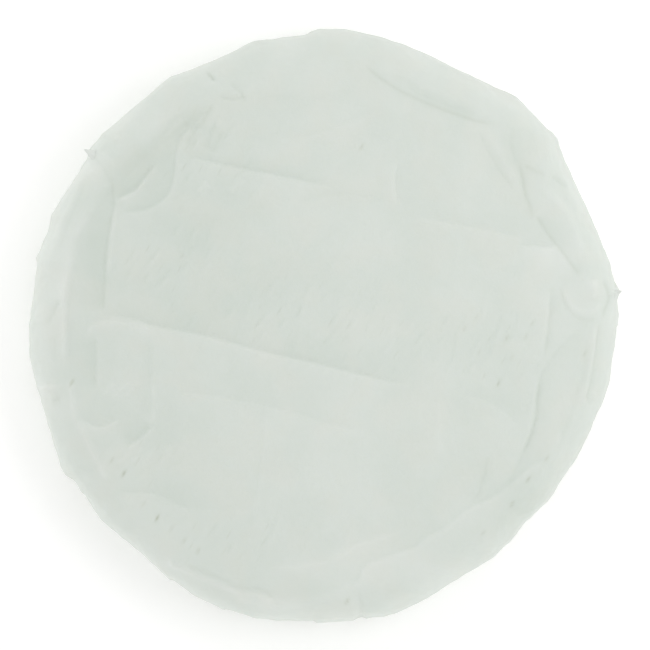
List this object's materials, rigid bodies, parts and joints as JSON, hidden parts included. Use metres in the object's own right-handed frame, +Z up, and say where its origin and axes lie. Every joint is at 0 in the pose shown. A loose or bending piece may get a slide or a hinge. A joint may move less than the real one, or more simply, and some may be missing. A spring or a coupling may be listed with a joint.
{
  "type": "cheese wheel",
  "caption": "Soft round cheese wheel lying flat, its thin white skin creased over the face and gathered round a full rounded rim.",
  "frame": {"origin": "under the middle of the wheel, on its flat underside", "axes": "+Z up out of the face, along the wheel's axis; +Y towards the top of the face as pictured"},
  "size_m": [0.2264, 0.226, 0.03],
  "materials": {
    "white_skin": "soft matt"
  },
  "bodies": {
    "root": {"cheese_wheel": "white_skin"}
  },
  "joints": []
}
